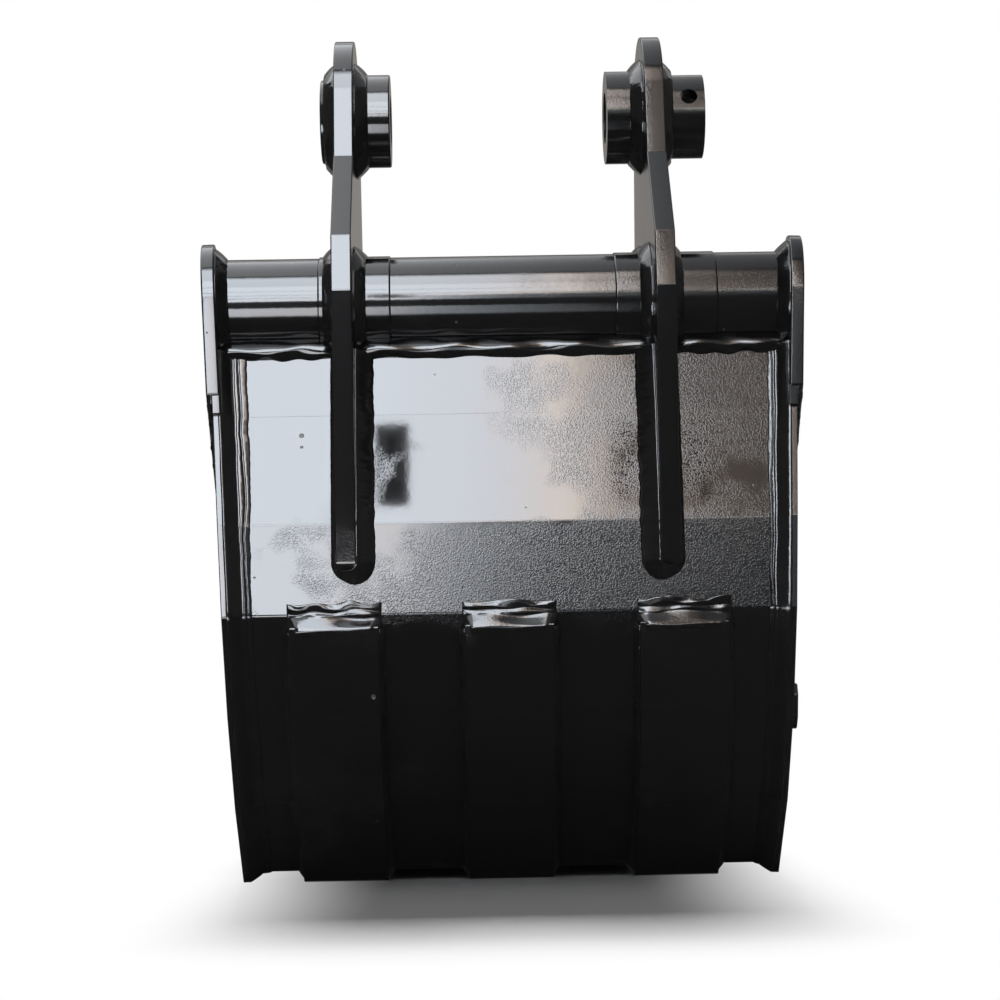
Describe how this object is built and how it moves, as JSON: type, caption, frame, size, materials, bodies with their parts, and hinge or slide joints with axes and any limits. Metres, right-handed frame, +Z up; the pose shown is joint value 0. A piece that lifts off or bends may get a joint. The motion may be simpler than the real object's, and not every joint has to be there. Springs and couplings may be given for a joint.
{
  "type": "excavator digging bucket",
  "caption": "Digging bucket for a small excavator: bent wrapper between tapered sides, hanger plates with stick and link pin bosses, wear strips, side cutters and pinned teeth.",
  "frame": {"origin": "middle of the stick pin's axis, halfway between the two hanger plates", "axes": "+X along the pins to the bucket's right as seen from behind, +Y out of the mouth towards the teeth, +Z up with the bucket standing on its flat floor"},
  "size_m": [0.4592, 0.586, 0.6545],
  "materials": {
    "plate_paint": "gloss black paint over rolled plate and weld beads",
    "cast_paint": "black paint over a cast skin",
    "fastener_steel": "dark oiled steel"
  },
  "bodies": {
    "root": {"wrapper_plate": "plate_paint", "side_plate_left": "plate_paint", "side_plate_right": "plate_paint", "end_plate_left": "plate_paint", "end_plate_right": "plate_paint", "cross_tube_left": "plate_paint", "cross_tube_middle": "plate_paint", "cross_tube_right": "plate_paint", "tube_boss_left": "plate_paint", "tube_boss_right": "plate_paint", "hanger_plate_left": "plate_paint", "hanger_plate_right": "plate_paint", "link_boss_left": "plate_paint", "link_boss_right": "plate_paint", "stick_boss_left": "plate_paint", "stick_boss_right": "plate_paint", "wear_strip_left": "plate_paint", "wear_strip_middle": "plate_paint", "wear_strip_right": "plate_paint", "cutting_edge": "plate_paint", "side_pad_right": "plate_paint", "side_cutter_left": "plate_paint", "side_cutter_right": "plate_paint", "cutter_bolts_left": "fastener_steel", "cutter_bolts_right": "fastener_steel", "cutter_nuts_left": "fastener_steel", "cutter_nuts_right": "fastener_steel", "tooth_adapter_1": "cast_paint", "tooth_adapter_2": "cast_paint", "tooth_adapter_3": "cast_paint", "tooth_adapter_4": "cast_paint", "tooth_1": "cast_paint", "tooth_2": "cast_paint", "tooth_3": "cast_paint", "tooth_4": "cast_paint", "tooth_pins": "fastener_steel"}
  },
  "joints": []
}
